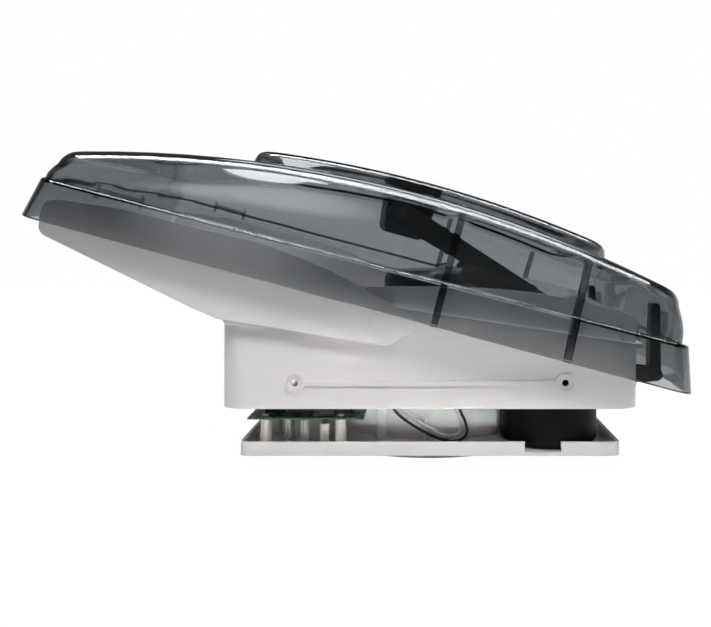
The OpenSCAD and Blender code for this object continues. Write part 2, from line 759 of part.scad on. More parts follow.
// Lift drive: drum under the deck, gearbox and bearing on it, a shaft through both with two arms
drum_bottom = tray_floor + loose_gap;
module lift_drum() color(black) translate([drum_x, drum_y, drum_bottom]) {
    rotate_extrude() polygon(rounded_outline([
        [0, 0, 0], [drum_r, 0, drum_edge_r], [drum_r, deck_z - drum_bottom, 0], [0, deck_z - drum_bottom, 0]
    ]));
}
gearbox_near = -base_inner + 0.5;
gearbox_far = gearbox_near + gearbox_y;
shaft_from = gearbox_far - 18;
shaft_to = bearing_y + bearing_t;
module lift_gearbox() color(black) difference() {
    along_y(gearbox_near, gearbox_far) polygon(rounded_outline([
        [lift_x - gearbox_half_x, deck_top, 0], [lift_x + gearbox_half_x, deck_top, 0],
        [lift_x + gearbox_half_x, deck_top + gearbox_h, 12], [lift_x - gearbox_half_x, deck_top + gearbox_h, 12]
    ]));
    translate([lift_x, 0, lift_z]) pin_y(lift_shaft_r + running_fit, shaft_from - 0.5, gearbox_far + 1);
}
module shaft_bearing() color(black) difference() {
    along_y(bearing_y, shaft_to) polygon(rounded_outline([
        [lift_x - 14, deck_top, 0], [lift_x + 14, deck_top, 0],
        [lift_x + 11, lift_z + 11, 9], [lift_x - 11, lift_z + 11, 9]
    ]));
    translate([lift_x, 0, lift_z]) pin_y(lift_shaft_r + running_fit, bearing_y - 1, shaft_to + 1);
}
module lift_shaft() color(steel) translate([lift_x, 0, lift_z]) pin_y(lift_shaft_r, shaft_from, shaft_to);
module arm() translate([lift_x, 0, lift_z]) rotate([0, arm_slope, 0]) difference() {
    union() {
        along_y(-arm_y - arm_t / 2, -arm_y + arm_t / 2) {
            circle(r = arm_root_r);
            translate([-arm_length, 0]) circle(r = arm_tip_r);
            polygon([[0, -arm_root_r], [0, arm_root_r], [-arm_length, arm_tip_r], [-arm_length, -arm_tip_r]]);
        }
        along_y(-arm_y - arm_t / 2 - gusset_t, -arm_y - arm_t / 2) polygon(rounded_outline([
            [-8, -6, 0], [-8, 4, 0], [-94, -8, 8], [-90, -24, 3], [-66, -22, 0], [-34, -6, 0]
        ]));
    }
    pin_y(lift_shaft_r + 0.02, -arm_y - arm_t, -arm_y + arm_t);
    translate([-arm_length, 0, 0]) pin_y(roller_r - 1.5, -arm_y - arm_t, -arm_y + arm_t);
}
module lift_arms() color(black) both_sides() arm();
module arm_rollers() color("#2a2a2b") translate([tip_x, 0, tip_z]) both_sides() {
    pin_y(roller_r, track_in - 1, arm_y - arm_t / 2);
    pin_y(roller_r - 1.52, arm_y - arm_t / 2, arm_y + arm_t / 2 + 2);
    pin_y(roller_r, arm_y + arm_t / 2, arm_y + arm_t / 2 + 2);
}

// Hinge of the lid: brackets on the rear wall, posts under the lid and a pin through each
ear_in = post_y - post_w / 2 - ear_gap;
ear_out = post_y + post_w / 2 + ear_gap;
module ear(y0) difference() {
    translate([hinge_x, 0, hinge_z]) along_y(y0, y0 + ear_t) {
        circle(r = knuckle_r);
        polygon([[-hinge_back, -ear_root], [-hinge_back, ear_root], [0, knuckle_r], [0, -knuckle_r]]);
    }
    translate([hinge_x, 0, hinge_z]) pin_y(hinge_pin_r + running_fit, y0 - 1, y0 + ear_t + 1);
}
bracket_t = 3;
bracket_h = 20;
function post_rear(n) = knuckle_r + (post_top_u + post_top_w / 2 - knuckle_r) * n / post_top_n;
module hinge_brackets() color(black) both_sides() {
    ear(ear_in - ear_t);
    ear(ear_out);
    translate([base_half, ear_in - ear_t, hinge_z - bracket_h / 2])
        cube([bracket_t, ear_out - ear_in + 2 * ear_t, bracket_h]);
}
module hinge_posts() color(black) on_lid() both_sides() difference() {
    along_y(post_y - post_w / 2, post_y + post_w / 2) {
        circle(r = knuckle_r);
        polygon(rounded_outline([
            [-knuckle_r, 0, 0], [knuckle_r, 0, 0], [post_rear(post_top_n), post_top_n, 3],
            [post_rear(post_top_n) - post_top_w, post_top_n, 3]
        ]));
    }
    pin_y(hinge_pin_r + 0.02, post_y - post_w, post_y + post_w);
}
module hinge_pins() color(steel) on_lid() both_sides()
    pin_y(hinge_pin_r, ear_in - ear_t - 1, ear_out + ear_t + 1);

// Rain shield: two side plates and a sloping floor between them, turning on studs of the side walls
shield_front_x = -base_half - shield_reach;
shield_outline = [
    [shield_front_x, 150, shield_corner_r], [shield_front_x + 4, 175, shield_corner_r],
    [shield_front_x + 17, 178, 30], [-base_half - 77, 169, 60], [-base_half - 13, 153, 60],
    [-145, 142, 40], [-108, 129, 40], [-82.5, 117.5, 40], [-17, 81.3, 5], [-8.5, 71, 3],
    [-35.4, 54.4, 4], [-base_half, 77.5, 8], [-base_half - 22, 87.2, 16]
];
tab_drop = 3.6;
tab_back = [[3, 45], [70, 91], [97, 120]];
plate_edge_fall = (77.5 - 54.4) / (base_half - 35.4);
floor_rear = [-base_half - 14, 86.2];
floor_bend = [-base_half - 22, 88.9];
floor_front = [shield_front_x + 6, 148.9];
floor_dir = (floor_front - floor_bend) / norm(floor_front - floor_bend);
floor_up = [floor_dir.y, -floor_dir.x] * shield_t;
function plate_edge(x) = [-base_half + x, 77.5 - plate_edge_fall * x];
module shield_tab(from, to) polygon([
    plate_edge(from) + [0, tab_drop], plate_edge(from + 3) - [0, tab_drop],
    plate_edge(to - 6) - [0, tab_drop], plate_edge(to) + [0, tab_drop]
]);
module rain_shield() color(white) difference() {
    union() {
        both_sides() {
            along_y(shield_in, shield_out) polygon(rounded_outline(shield_outline));
            for (t = tab_back) along_y(shield_in - shield_t, shield_in + 1) shield_tab(t[0], t[1]);
        }
        along_y(-shield_in - 1, shield_in + 1) polygon([
            floor_rear, floor_bend, floor_front,
            floor_front + floor_up, floor_bend + floor_up, floor_rear + [0, shield_t]
        ]);
    }
    translate([shield_pivot_x, 0, shield_pivot_z]) pin_y(stud_r + running_fit, -base_w, base_w);
}
module shield_studs() color(white) translate([shield_pivot_x, 0, shield_pivot_z]) both_sides() {
    pin_y(stud_collar_r, base_half, shield_in - 0.4);
    pin_y(stud_r, base_half, shield_out + 0.4);
    pin_y(stud_head_r, shield_out + 0.4, shield_out + 0.4 + stud_head_t);
}

// Lid: one lofted shell with side ribs and catches, webs behind the hinge posts and pads over the lift tracks
function side_in(t) = lid_half - skirt_draft_side * t - lid_wall;
ledge_n = skirt_front_h - rim_drop;
wall_in = side_in(1) - ledge_w;
rib_bite = 1.2;
module rib_slab(station) translate([-side_rib_w / 2, station[1] - station[2], station[0]])
    cube([side_rib_w, station[2], 0.5]);
function rib_stations(u) = let (
    top = arch_h(u) - rim_drop - edge_drop,
    middle = (ledge_n + top) / 2
) [
    [-rim_drop + 2, side_in(0.1) + rib_bite, side_rib_depth], [ledge_n, side_in(1), side_rib_depth + ledge_w],
    [ledge_n + 0.8, wall_in + rib_bite, side_rib_depth + rib_bite],
    [middle, wall_in - wall_draft_side / 4 + rib_bite, side_rib_depth],
    [top, wall_in - wall_draft_side + rib_bite, side_rib_depth],
    [top + edge_drop / 2, wall_in - wall_draft_side - edge_drop / 3 + rib_bite, side_rib_depth]
];
module side_rib(u) translate([u, 0, 0]) let (stations = rib_stations(u))
    for (i = [0:len(stations) - 2]) hull() {
        rib_slab(stations[i]);
        rib_slab(stations[i + 1]);
    }
rear_wall_u = lid_rear_reach - skirt_draft_rear - ledge_w - bow(post_y, lid_half, lid_bow_rear) - lid_wall / 2;
module rear_web() along_y(post_y - web_t / 2, post_y + web_t / 2) polygon([
    [post_rear(web_low_n), web_low_n], [rear_wall_u, web_low_n],
    [rear_wall_u - wall_draft_rear * 0.75, web_high_n], [post_rear(web_high_n), web_high_n]
]);
pad_half_u = 28;
pad_u = track_u + 5;
module track_pad() hull() for (s = [-1, 1]) let (u = pad_u + s * pad_half_u)
    translate([u - 1, track_in - 3, track_top_n])
        cube([2, track_t + 6, arch_h(u) + panel_h + lid_crown / 2 - lid_wall + 1.5 - rim_drop - track_top_n]);
catch_u = [-501, -463];
catch_low_n = 24;
catch_high_n = 36;
catch_t = 2;
shelf_t = 3;
catch_in = shield_out + 2;
catch_out = wall_in + 1.5;
module side_catch() {
    for (u = catch_u) translate([u - catch_t / 2, catch_in, catch_low_n])
        cube([catch_t, catch_out - catch_in, catch_high_n - catch_low_n]);
    translate([catch_u[0], catch_in, ledge_n + 1])
        cube([catch_u[1] - catch_u[0], catch_out - catch_in, shelf_t]);
}
module lid() color("#3c4247", 0.6) on_lid() union() {
    polyhedron(lid_points, lid_faces);
    both_sides() {
        for (u = side_rib_u) side_rib(u);
        side_catch();
        rear_web();
        track_pad();
    }
}

// Tracks under the lid that hold the arms' rollers
track_slot = roller_r + track_play;
track_reach = 8;
module lift_tracks() color("#1b1d20") on_lid() both_sides() difference() {
    along_y(track_in, track_in + track_t) polygon(rounded_outline([
        [track_u - 22, track_top_n, 0], [track_u - 18, track_n - 22, 8],
        [track_u + 28, track_n - 22, 8], [track_u + 32, track_top_n, 0]
    ]));
    translate([track_u, 0, track_n]) along_y(track_in - 1, track_in + track_t + 1) {
        translate([-track_reach / 2, 0]) circle(r = track_slot);
        translate([track_reach, 0]) circle(r = track_slot);
        translate([-track_reach / 2, -track_slot]) square([1.5 * track_reach, 2 * track_slot]);
    }
}

base_housing();
duct_ring();
fan_shroud();
motor_bridge();
fan_motor();
motor_shaft();
fan();
hub_nut();
ceiling_panel();
panel_collar();
panel_posts();
screen_frame();
screen_mesh();
circuit_board();
board_parts();
board_screws();
tact_switches();
signal_lamp();
panel_screws();
black_wire();
white_wire();
board_lead();
lift_drum();
lift_gearbox();
shaft_bearing();
lift_shaft();
lift_arms();
arm_rollers();
hinge_brackets();
shield_studs();
rain_shield();
lid();
hinge_posts();
hinge_pins();
lift_tracks();
power_button();
speed_button();
direction_button();
lid_button();
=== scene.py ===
# Looks for a powered caravan roof vent with a smoked lid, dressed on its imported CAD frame.
# Metres, +Z up. The vent's front is -X, the camera stands at its near side, -Y.
import json
import math
import random

import bmesh
import bpy
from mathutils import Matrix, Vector


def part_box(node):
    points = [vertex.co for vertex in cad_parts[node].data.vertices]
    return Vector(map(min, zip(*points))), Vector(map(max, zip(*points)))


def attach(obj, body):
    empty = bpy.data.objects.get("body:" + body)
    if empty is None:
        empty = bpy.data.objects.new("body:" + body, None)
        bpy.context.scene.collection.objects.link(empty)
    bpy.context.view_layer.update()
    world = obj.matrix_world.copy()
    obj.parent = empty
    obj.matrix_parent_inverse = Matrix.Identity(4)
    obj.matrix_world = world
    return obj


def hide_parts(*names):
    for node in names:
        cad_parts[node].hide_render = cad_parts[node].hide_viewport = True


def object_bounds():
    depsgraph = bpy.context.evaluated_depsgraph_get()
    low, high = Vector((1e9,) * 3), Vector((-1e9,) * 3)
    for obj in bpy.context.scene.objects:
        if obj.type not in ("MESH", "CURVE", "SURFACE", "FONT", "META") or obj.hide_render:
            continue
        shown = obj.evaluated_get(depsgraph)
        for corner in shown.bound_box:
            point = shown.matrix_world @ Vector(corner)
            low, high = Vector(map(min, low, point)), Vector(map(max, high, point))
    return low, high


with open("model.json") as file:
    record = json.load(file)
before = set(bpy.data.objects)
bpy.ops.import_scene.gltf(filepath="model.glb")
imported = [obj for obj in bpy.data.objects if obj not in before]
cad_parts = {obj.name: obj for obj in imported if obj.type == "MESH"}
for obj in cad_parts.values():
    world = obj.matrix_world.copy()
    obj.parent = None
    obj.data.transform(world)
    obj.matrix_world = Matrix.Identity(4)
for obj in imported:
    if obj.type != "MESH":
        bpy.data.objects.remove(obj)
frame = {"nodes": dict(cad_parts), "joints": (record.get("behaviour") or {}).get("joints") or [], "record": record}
cad_low, cad_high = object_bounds()
nodes = frame["nodes"]
joints = {joint["name"]: joint for joint in frame["joints"]}
node_slots = {part["node"]: part["material_slot"] for part in frame["record"]["subparts"]}
scene = bpy.context.scene
scene.view_settings.view_transform = "Standard"
MM = 0.001


def link(obj):
    """Puts an object in the scene."""
    scene.collection.objects.link(obj)
    return obj


# Camera: level, square to the near side, with the picture's optical centre away from its middle
IMAGE_W = 711
IMAGE_H = 627
FOCAL_PX = 828
OPTICAL_CENTRE_PX = (425, 238)
CAMERA_AT = (-0.0043, -0.882, 0.1452)
camera_data = bpy.data.cameras.new("camera")
camera_data.sensor_width = 36
camera_data.lens = camera_data.sensor_width * FOCAL_PX / IMAGE_W
camera_data.shift_x = (IMAGE_W / 2 - OPTICAL_CENTRE_PX[0]) / IMAGE_W
camera_data.shift_y = (OPTICAL_CENTRE_PX[1] - IMAGE_H / 2) / IMAGE_W
camera = link(bpy.data.objects.new("camera", camera_data))
camera.location = CAMERA_AT
camera.rotation_euler = (math.pi / 2, 0, 0)
scene.camera = camera

# Wires: the same routes as in the CAD source, in millimetres, each swept as one smooth tube
WIRE_R = 1.3 * MM
WIRE_CUTS = 8
WIRE_ROUNDNESS = 4
BLACK_ROUTE = [
    (-40, -140, 40), (-39, -140, 20), (-36, -140, 0), (-29, -140, -12), (-16, -140, -22),
    (0, -140, -31), (14, -140, -36), (26, -140, -36), (33, -140, -30), (32, -140, -20),
    (27, -140, -8), (24, -140, 10), (24, -140, 40),
]
WHITE_ROUTE = [
    (-36, -135, 40), (-35, -135, 20), (-32, -135, 2), (-25, -135, -9), (-12, -135, -19),
    (2, -135, -27), (14, -135, -32), (24, -135, -32), (28, -135, -27), (27, -135, -18),
    (22, -135, -6), (19, -135, 10), (19, -135, 40),
]
BOARD_ROUTE = [
    (-70, -140, -12.2), (-70, -140, -5), (-66, -140, 3), (-58, -140, 9), (-52, -140, 18),
    (-50, -140, 28), (-50, -140, 40),
]


def spline_at(p, i, t):
    """Point of a Catmull-Rom curve through p, between p[i] and p[i + 1]."""
    a, b, c, d = p[max(i - 1, 0)], p[i], p[i + 1], p[min(i + 2, len(p) - 1)]
    return 0.5 * (
        2 * b + (c - a) * t + (2 * a - 5 * b + 4 * c - d) * t ** 2 + (3 * b - a - 3 * c + d) * t ** 3
    )


def wire(name, node, route_mm):
    """One wire as a curve along its route, both ends in the object."""
    route = [Vector(p) * MM for p in route_mm]
    path = [spline_at(route, i, k / WIRE_CUTS) for i in range(len(route) - 1) for k in range(WIRE_CUTS)]
    path.append(route[-1])
    data = bpy.data.curves.new(name, "CURVE")
    data.dimensions = "3D"
    data.bevel_depth = 1
    data.bevel_resolution = WIRE_ROUNDNESS
    data.use_fill_caps = True
    line = data.splines.new("POLY")
    line.points.add(len(path) - 1)
    for point, place in zip(line.points, path):
        point.co = (*place, 1)
        point.radius = WIRE_R
    line.use_smooth = True
    obj = link(bpy.data.objects.new(name, data))
    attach(obj, "base_body")
    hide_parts(node)
    return obj


wires = [
    wire("black_wire_loop", "black_wire", BLACK_ROUTE),
    wire("white_wire_loop", "white_wire", WHITE_ROUTE),
    wire("board_lead_wire", "board_lead", BOARD_ROUTE),
]

# Materials, each with its own grain and variation in object space
NOISE_LOW = 0.3
NOISE_HIGH = 0.7
DRIFT_SCALE = 7
GLOSS_SCALE = 60
GRAIN_STRENGTH = 0.25
ACRYLIC_IOR = 1.49
ACRYLIC_SHADOW = (0.66, 0.66, 0.68, 1)
RIPPLE_SCALE = 9
RIPPLE_STRENGTH = 0.01


def material(name):
    """A new node material, with its tree and its Principled shader."""
    made = bpy.data.materials.new(name)
    made.use_nodes = True
    return made, made.node_tree, made.node_tree.nodes["Principled BSDF"]


def combine(tree, operation, first, second):
    """Two sockets, or a socket and a number, put together by a Math node."""
    made = tree.nodes.new("ShaderNodeMath")
    made.operation = operation
    tree.links.new(first, made.inputs[0])
    if isinstance(second, bpy.types.NodeSocket):
        tree.links.new(second, made.inputs[1])
    else:
        made.inputs[1].default_value = second
    return made.outputs[0]


def fade(tree, value, start, end, low, high, course="LINEAR"):
    """A number that goes from low to high while a value goes from start to end."""
    made = tree.nodes.new("ShaderNodeMapRange")
    made.interpolation_type = course
    made.inputs["From Min"].default_value = start
    made.inputs["From Max"].default_value = end
    made.inputs["To Min"].default_value = low
    made.inputs["To Max"].default_value = high
    tree.links.new(value, made.inputs["Value"])
    return made.outputs["Result"]


def noise(tree, scale, detail=2.0, stretch=(1, 1, 1)):
    """Noise in object space, with its features 1 / scale metres wide."""
    place = tree.nodes.new("ShaderNodeTexCoord")
    mapping = tree.nodes.new("ShaderNodeMapping")
    mapping.inputs["Scale"].default_value = stretch
    made = tree.nodes.new("ShaderNodeTexNoise")
    made.inputs["Scale"].default_value = scale
    made.inputs["Detail"].default_value = detail
    tree.links.new(place.outputs["Object"], mapping.inputs["Vector"])
    tree.links.new(mapping.outputs["Vector"], made.inputs["Vector"])
    return made.outputs["Fac"]


def between(tree, value, low, high):
    """A number that goes from low to high as the noise does."""
    return fade(tree, value, NOISE_LOW, NOISE_HIGH, low, high)


def shades(tree, value, dark, light):
    """A colour that goes from dark to light as the noise does."""
    ramp = tree.nodes.new("ShaderNodeValToRGB")
    ramp.color_ramp.elements[0].position = NOISE_LOW
    ramp.color_ramp.elements[0].color = (*dark, 1)
    ramp.color_ramp.elements[1].position = NOISE_HIGH
    ramp.color_ramp.elements[1].color = (*light, 1)
    tree.links.new(value, ramp.inputs["Fac"])
    return ramp.outputs["Color"]


def bump(tree, height, strength, depth):
    """A normal that follows a height."""
    made = tree.nodes.new("ShaderNodeBump")
    made.inputs["Strength"].default_value = strength
    made.inputs["Distance"].default_value = depth
    tree.links.new(height, made.inputs["Height"])
    return made.outputs["Normal"]


def moulded(name, dark, light, rough, grain, grain_depth, drift=DRIFT_SCALE, stretch=(1, 1, 1)):
    """Moulded plastic, rubber or plated metal: drifting shade, uneven gloss and a fine grain."""
    made, tree, shader = material(name)
    tree.links.new(shades(tree, noise(tree, drift, 3), dark, light), shader.inputs["Base Color"])
    tree.links.new(between(tree, noise(tree, GLOSS_SCALE, 4, stretch), *rough), shader.inputs["Roughness"])
    grain_normal = bump(tree, noise(tree, grain, 2, stretch), GRAIN_STRENGTH, grain_depth)
    tree.links.new(grain_normal, shader.inputs["Normal"])
    return made, shader


def smoked(name, tint, density):
    """Clear plastic that darkens with the way light goes through it; shadows pass it too."""
    made, tree, shader = material(name)
    shader.inputs["Base Color"].default_value = (1, 1, 1, 1)
    shader.inputs["Transmission Weight"].default_value = 1
    shader.inputs["IOR"].default_value = ACRYLIC_IOR
    tree.links.new(between(tree, noise(tree, RIPPLE_SCALE, 2), 0.0, 0.012), shader.inputs["Roughness"])
    ripple = bump(tree, noise(tree, RIPPLE_SCALE, 1), RIPPLE_STRENGTH, 0.1 * MM)
    tree.links.new(ripple, shader.inputs["Normal"])
    clear = tree.nodes.new("ShaderNodeBsdfTransparent")
    clear.inputs["Color"].default_value = ACRYLIC_SHADOW
    rays = tree.nodes.new("ShaderNodeLightPath")
    passing = combine(tree, "MAXIMUM", rays.outputs["Is Shadow Ray"], rays.outputs["Is Diffuse Ray"])
    mix = tree.nodes.new("ShaderNodeMixShader")
    tree.links.new(passing, mix.inputs["Fac"])
    tree.links.new(shader.outputs["BSDF"], mix.inputs[1])
    tree.links.new(clear.outputs["BSDF"], mix.inputs[2])
    soak = tree.nodes.new("ShaderNodeVolumeAbsorption")
    soak.inputs["Color"].default_value = (*tint, 1)
    soak.inputs["Density"].default_value = density
    output = tree.nodes["Material Output"]
    tree.links.new(mix.outputs["Shader"], output.inputs["Surface"])
    tree.links.new(soak.outputs["Volume"], output.inputs["Volume"])
    return made


def solder_mask(name):
    """Green lacquer over a pattern of copper tracks."""
    made, tree, shader = material(name)
    place = tree.nodes.new("ShaderNodeTexCoord")
    tracks = tree.nodes.new("ShaderNodeTexBrick")
    tracks.inputs["Scale"].default_value = 90
    tracks.inputs["Mortar Size"].default_value = 0.06
    tracks.inputs["Color1"].default_value = (0.010, 0.050, 0.020, 1)
    tracks.inputs["Color2"].default_value = (0.014, 0.062, 0.026, 1)
    tracks.inputs["Mortar"].default_value = (0.030, 0.110, 0.045, 1)
    tree.links.new(place.outputs["Object"], tracks.inputs["Vector"])
    tree.links.new(tracks.outputs["Color"], shader.inputs["Base Color"])
    tree.links.new(bump(tree, tracks.outputs["Fac"], 0.3, 0.05 * MM), shader.inputs["Normal"])
    tree.links.new(between(tree, noise(tree, 200), 0.22, 0.34), shader.inputs["Roughness"])
    return made


white_plastic, _ = moulded(
    "white_plastic", (0.79, 0.767, 0.758), (0.82, 0.797, 0.79), (0.36, 0.46), 1800, 0.05 * MM
)
black_plastic, _ = moulded(
    "black_plastic", (0.006, 0.006, 0.007), (0.010, 0.010, 0.011), (0.28, 0.40), 900, 0.02 * MM
)
fan_plastic, _ = moulded(
    "fan_plastic", (0.020, 0.021, 0.024), (0.028, 0.029, 0.033), (0.28, 0.40), 1200, 0.06 * MM
)
chip_black, _ = moulded(
    "chip_black", (0.010, 0.010, 0.011), (0.018, 0.018, 0.019), (0.40, 0.55), 2500, 0.06 * MM
)
wire_black, _ = moulded(
    "wire_black", (0.010, 0.010, 0.010), (0.018, 0.018, 0.018), (0.38, 0.52), 900, 0.10 * MM, 40
)
wire_white, _ = moulded(
    "wire_white", (0.72, 0.71, 0.69), (0.80, 0.79, 0.77), (0.40, 0.52), 900, 0.10 * MM, 40
)
roller_nylon, _ = moulded(
    "roller_nylon", (0.010, 0.010, 0.011), (0.016, 0.016, 0.017), (0.36, 0.48), 900, 0.05 * MM, 30
)
drum_black, drum_shader = moulded(
    "drum_black", (0.002, 0.002, 0.002), (0.004, 0.004, 0.004), (0.50, 0.62), 900, 0.02 * MM
)
drum_shader.inputs["Specular IOR Level"].default_value = 0.12
steel, steel_shader = moulded(
    "steel", (0.52, 0.52, 0.53), (0.64, 0.64, 0.65), (0.20, 0.38), 700, 0.03 * MM, 30, (1, 1, 14)
)
steel_shader.inputs["Metallic"].default_value = 1
dark_steel, dark_shader = moulded(
    "dark_steel", (0.030, 0.030, 0.032), (0.050, 0.050, 0.053), (0.30, 0.45), 700, 0.03 * MM, 30
)
dark_shader.inputs["Metallic"].default_value = 0.8
screen_wire, wire_shader = moulded(
    "screen_wire", (0.055, 0.055, 0.056), (0.095, 0.095, 0.097), (0.35, 0.50), 1500, 0.05 * MM, 50
)
wire_shader.inputs["Metallic"].default_value = 0.6
smoked_lid = smoked("smoked_lid", (0.0, 0.045, 0.075), 260)
smoked_track = smoked("smoked_track", (0.0, 0.04, 0.08), 480)
board_green = solder_mask("board_green")

SLOT_MATERIALS = {
    "white_plastic": white_plastic, "smoked_lid": smoked_lid, "black_plastic": black_plastic, "steel": steel,
    "fan_plastic": fan_plastic, "screen_wire": screen_wire, "board_green": board_green,
    "chip_black": chip_black, "wire_black": wire_black, "wire_white": wire_white,
    "roller_nylon": roller_nylon,
}


def dress(obj, made):
    """Puts one material all over an object."""
    obj.data.materials.clear()
    obj.data.materials.append(made)


for node, slot in node_slots.items():
    dress(nodes[node], SLOT_MATERIALS[slot])
dress(nodes["lift_tracks"], smoked_track)
dress(nodes["lift_drum"], drum_black)
dress(nodes["hinge_pins"], dark_steel)
for obj, slot in zip(wires, ("wire_black", "wire_white", "wire_black")):
    dress(obj, SLOT_MATERIALS[slot])

# Meshes that stand for CAD nodes
WELD_GAP = 0.01 * MM
FLAT_ANGLE = math.radians(0.5)
SHARP_ANGLE = math.radians(40)
CREASE_ANGLE = math.radians(46)


def node_copy(node):
    """A node's mesh with its faces joined up again."""
    mesh = bmesh.new()
    mesh.from_mesh(nodes[node].data)
    bmesh.ops.remove_doubles(mesh, verts=mesh.verts, dist=WELD_GAP)
    bmesh.ops.recalc_face_normals(mesh, faces=mesh.faces)
    return mesh


def sharp(edge, sign):
    """Whether an edge stands out (1) or in (-1) by a clear angle."""
    return len(edge.link_faces) == 2 and sign * edge.calc_face_angle_signed(0) > SHARP_ANGLE


def middle_of(edge):
    """The point halfway along an edge."""
    return (edge.verts[0].co + edge.verts[1].co) / 2


def round_edges(mesh, edges, width, segments, clamp=True):
    """Rounds edges over a width to either side."""
    bmesh.ops.bevel(
        mesh, geom=edges, offset=width, segments=segments, profile=0.5, affect="EDGES", clamp_overlap=clamp
    )


def shade(mesh):
    """Smooth shading that stops at the edges sharper than the crease angle."""
    for face in mesh.faces:
        face.smooth = True
    for edge in mesh.edges:
        edge.smooth = len(edge.link_faces) == 2 and edge.calc_face_angle(math.pi) < CREASE_ANGLE


def mesh_object(name, mesh, made):
    """An object with a finished mesh and one material."""
    data = bpy.data.meshes.new(name)
    mesh.to_mesh(data)
    mesh.free()
    obj = link(bpy.data.objects.new(name, data))
    dress(obj, made)
    return obj


def even_normals(obj):
    """Evens out the shading beside rounded edges."""
    even = obj.modifiers.new("even", "WEIGHTED_NORMAL")
    even.keep_sharp = True


def stand_in(name, mesh, body, node, made):
    """A new piece for a node, on that node's body and with the given material."""
    obj = mesh_object(name, mesh, made)
    even_normals(obj)
    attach(obj, body)
    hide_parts(node)


# Lid: the lofted shell with its rim, ledge and panel edges rounded
RIM_REACH = 0.3 * MM
RIM_ROUND = 1.2 * MM
LEDGE_N = (28.5 * MM, 34 * MM)
LEDGE_ROUND = 1.5 * MM
PANEL_HALF = 151 * MM
PANEL_LOW = 120 * MM
PANEL_TOP_ROUND = 6.0 * MM
PANEL_FOOT_ROUND = 1.4 * MM
FACING_UP = 0.6
JOIN_FACE_ANGLE = math.radians(20)
JOIN_SHAPE_ANGLE = math.radians(70)
hinge_at = Vector(joints["lid_hinge"]["pos_m"])
lid_tilt = math.radians(-joints["lid_hinge"]["range_deg"][0])
lid_up = Vector((math.sin(lid_tilt), 0, math.cos(lid_tilt)))


def lid_n(v):
    """A point's height above the hinge, square to the lid."""
    return (v.co - hinge_at).dot(lid_up)


def tops_out(edge):
    """Whether one of an edge's faces is turned upward."""
    return max(f.normal.z for f in edge.link_faces) > FACING_UP


def on_rim(edge):
    """Whether an edge is on the lower rim of the skirt."""
    return all(lid_n(v) - rim_n < RIM_REACH for v in edge.verts)


def on_ledge(edge):
    """Whether an edge is the outer edge of the ledge above the skirt."""
    outward = middle_of(edge) - lid_middle
    outward.z = 0
    facing = sum((f.normal for f in edge.link_faces), Vector())
    inside = all(LEDGE_N[0] < lid_n(v) < LEDGE_N[1] for v in edge.verts)
    return inside and facing.dot(outward) > 0 and tops_out(edge)


def on_panel(edge):
    """Whether an edge is on the outside of the raised panel."""
    inside = all(abs(v.co.y) < PANEL_HALF and v.co.z > PANEL_LOW for v in edge.verts)
    return inside and tops_out(edge)


lid_mesh = node_copy("lid")
lid_low, lid_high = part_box("lid")
lid_middle = (lid_low + lid_high) / 2
rim_n = min(lid_n(v) for v in lid_mesh.verts)
bmesh.ops.join_triangles(
    lid_mesh, faces=lid_mesh.faces,
    angle_face_threshold=JOIN_FACE_ANGLE, angle_shape_threshold=JOIN_SHAPE_ANGLE,
)
for sign, place, width, segments in (
    (1, on_rim, RIM_ROUND, 3), (1, on_ledge, LEDGE_ROUND, 4),
    (1, on_panel, PANEL_TOP_ROUND, 6), (-1, on_panel, PANEL_FOOT_ROUND, 5),
):
    chosen = [e for e in lid_mesh.edges if sharp(e, sign) and place(e)]
    round_edges(lid_mesh, chosen, width, segments, clamp=False)
shade(lid_mesh)
stand_in("smoked_lid_shell", lid_mesh, "lid_body", "lid", smoked_lid)

# Rain shield: the outer edges of its side plates are well rounded
SHIELD_ROUND = 2.4 * MM
PLATE_SKIN = 0.1 * MM
STUD_CLEAR = 9 * MM
stud_at = Vector(joints["shield_pivot"]["pos_m"])
shield_mesh = node_copy("rain_shield")
bmesh.ops.dissolve_limit(
    shield_mesh, angle_limit=FLAT_ANGLE, verts=shield_mesh.verts, edges=shield_mesh.edges
)
shield_side = max(v.co.y for v in shield_mesh.verts) - PLATE_SKIN


def on_plate_rim(edge):
    """Whether an edge runs along the outside of a side plate, away from the stud."""
    away = middle_of(edge) - stud_at
    near_stud = math.hypot(away.x, away.z) < STUD_CLEAR
    return all(abs(v.co.y) > shield_side for v in edge.verts) and not near_stud


plate_edges = [e for e in shield_mesh.edges if sharp(e, 1) and on_plate_rim(e)]
round_edges(shield_mesh, plate_edges, SHIELD_ROUND, 5)
shade(shield_mesh)
stand_in("rain_shield_shell", shield_mesh, "shield_body", "rain_shield", white_plastic)

# Insect screen: a fine net of crossed wires in a flat rim, in place of the coarse CAD net
NET_PITCH = 2.6 * MM
NET_WIRE = 0.42 * MM
NET_LIFT = 0.35 * NET_WIRE
NET_RIM = 3.5 * MM
NET_RIM_H = 1.0 * MM
NET_RIM_STEPS = 96
net_low, net_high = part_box("screen_mesh")
net_r = (net_high.x - net_low.x) / 2
net_z = (net_low.z + net_high.z) / 2
net_mesh = bmesh.new()


def bar(mesh, start, end, thick):
    """A thin square bar between two level points."""
    along = (end - start).normalized()
    side = along.cross(Vector((0, 0, 1))) * thick / 2
    up = Vector((0, 0, thick / 2))
    rings = [
        [mesh.verts.new(p + a * side + b * up) for a, b in ((-1, -1), (1, -1), (1, 1), (-1, 1))]
        for p in (start, end)
    ]
    for k in range(4):
        mesh.faces.new((rings[0][k], rings[0][(k + 1) % 4], rings[1][(k + 1) % 4], rings[1][k]))
    mesh.faces.new(rings[0][::-1])
    mesh.faces.new(rings[1])


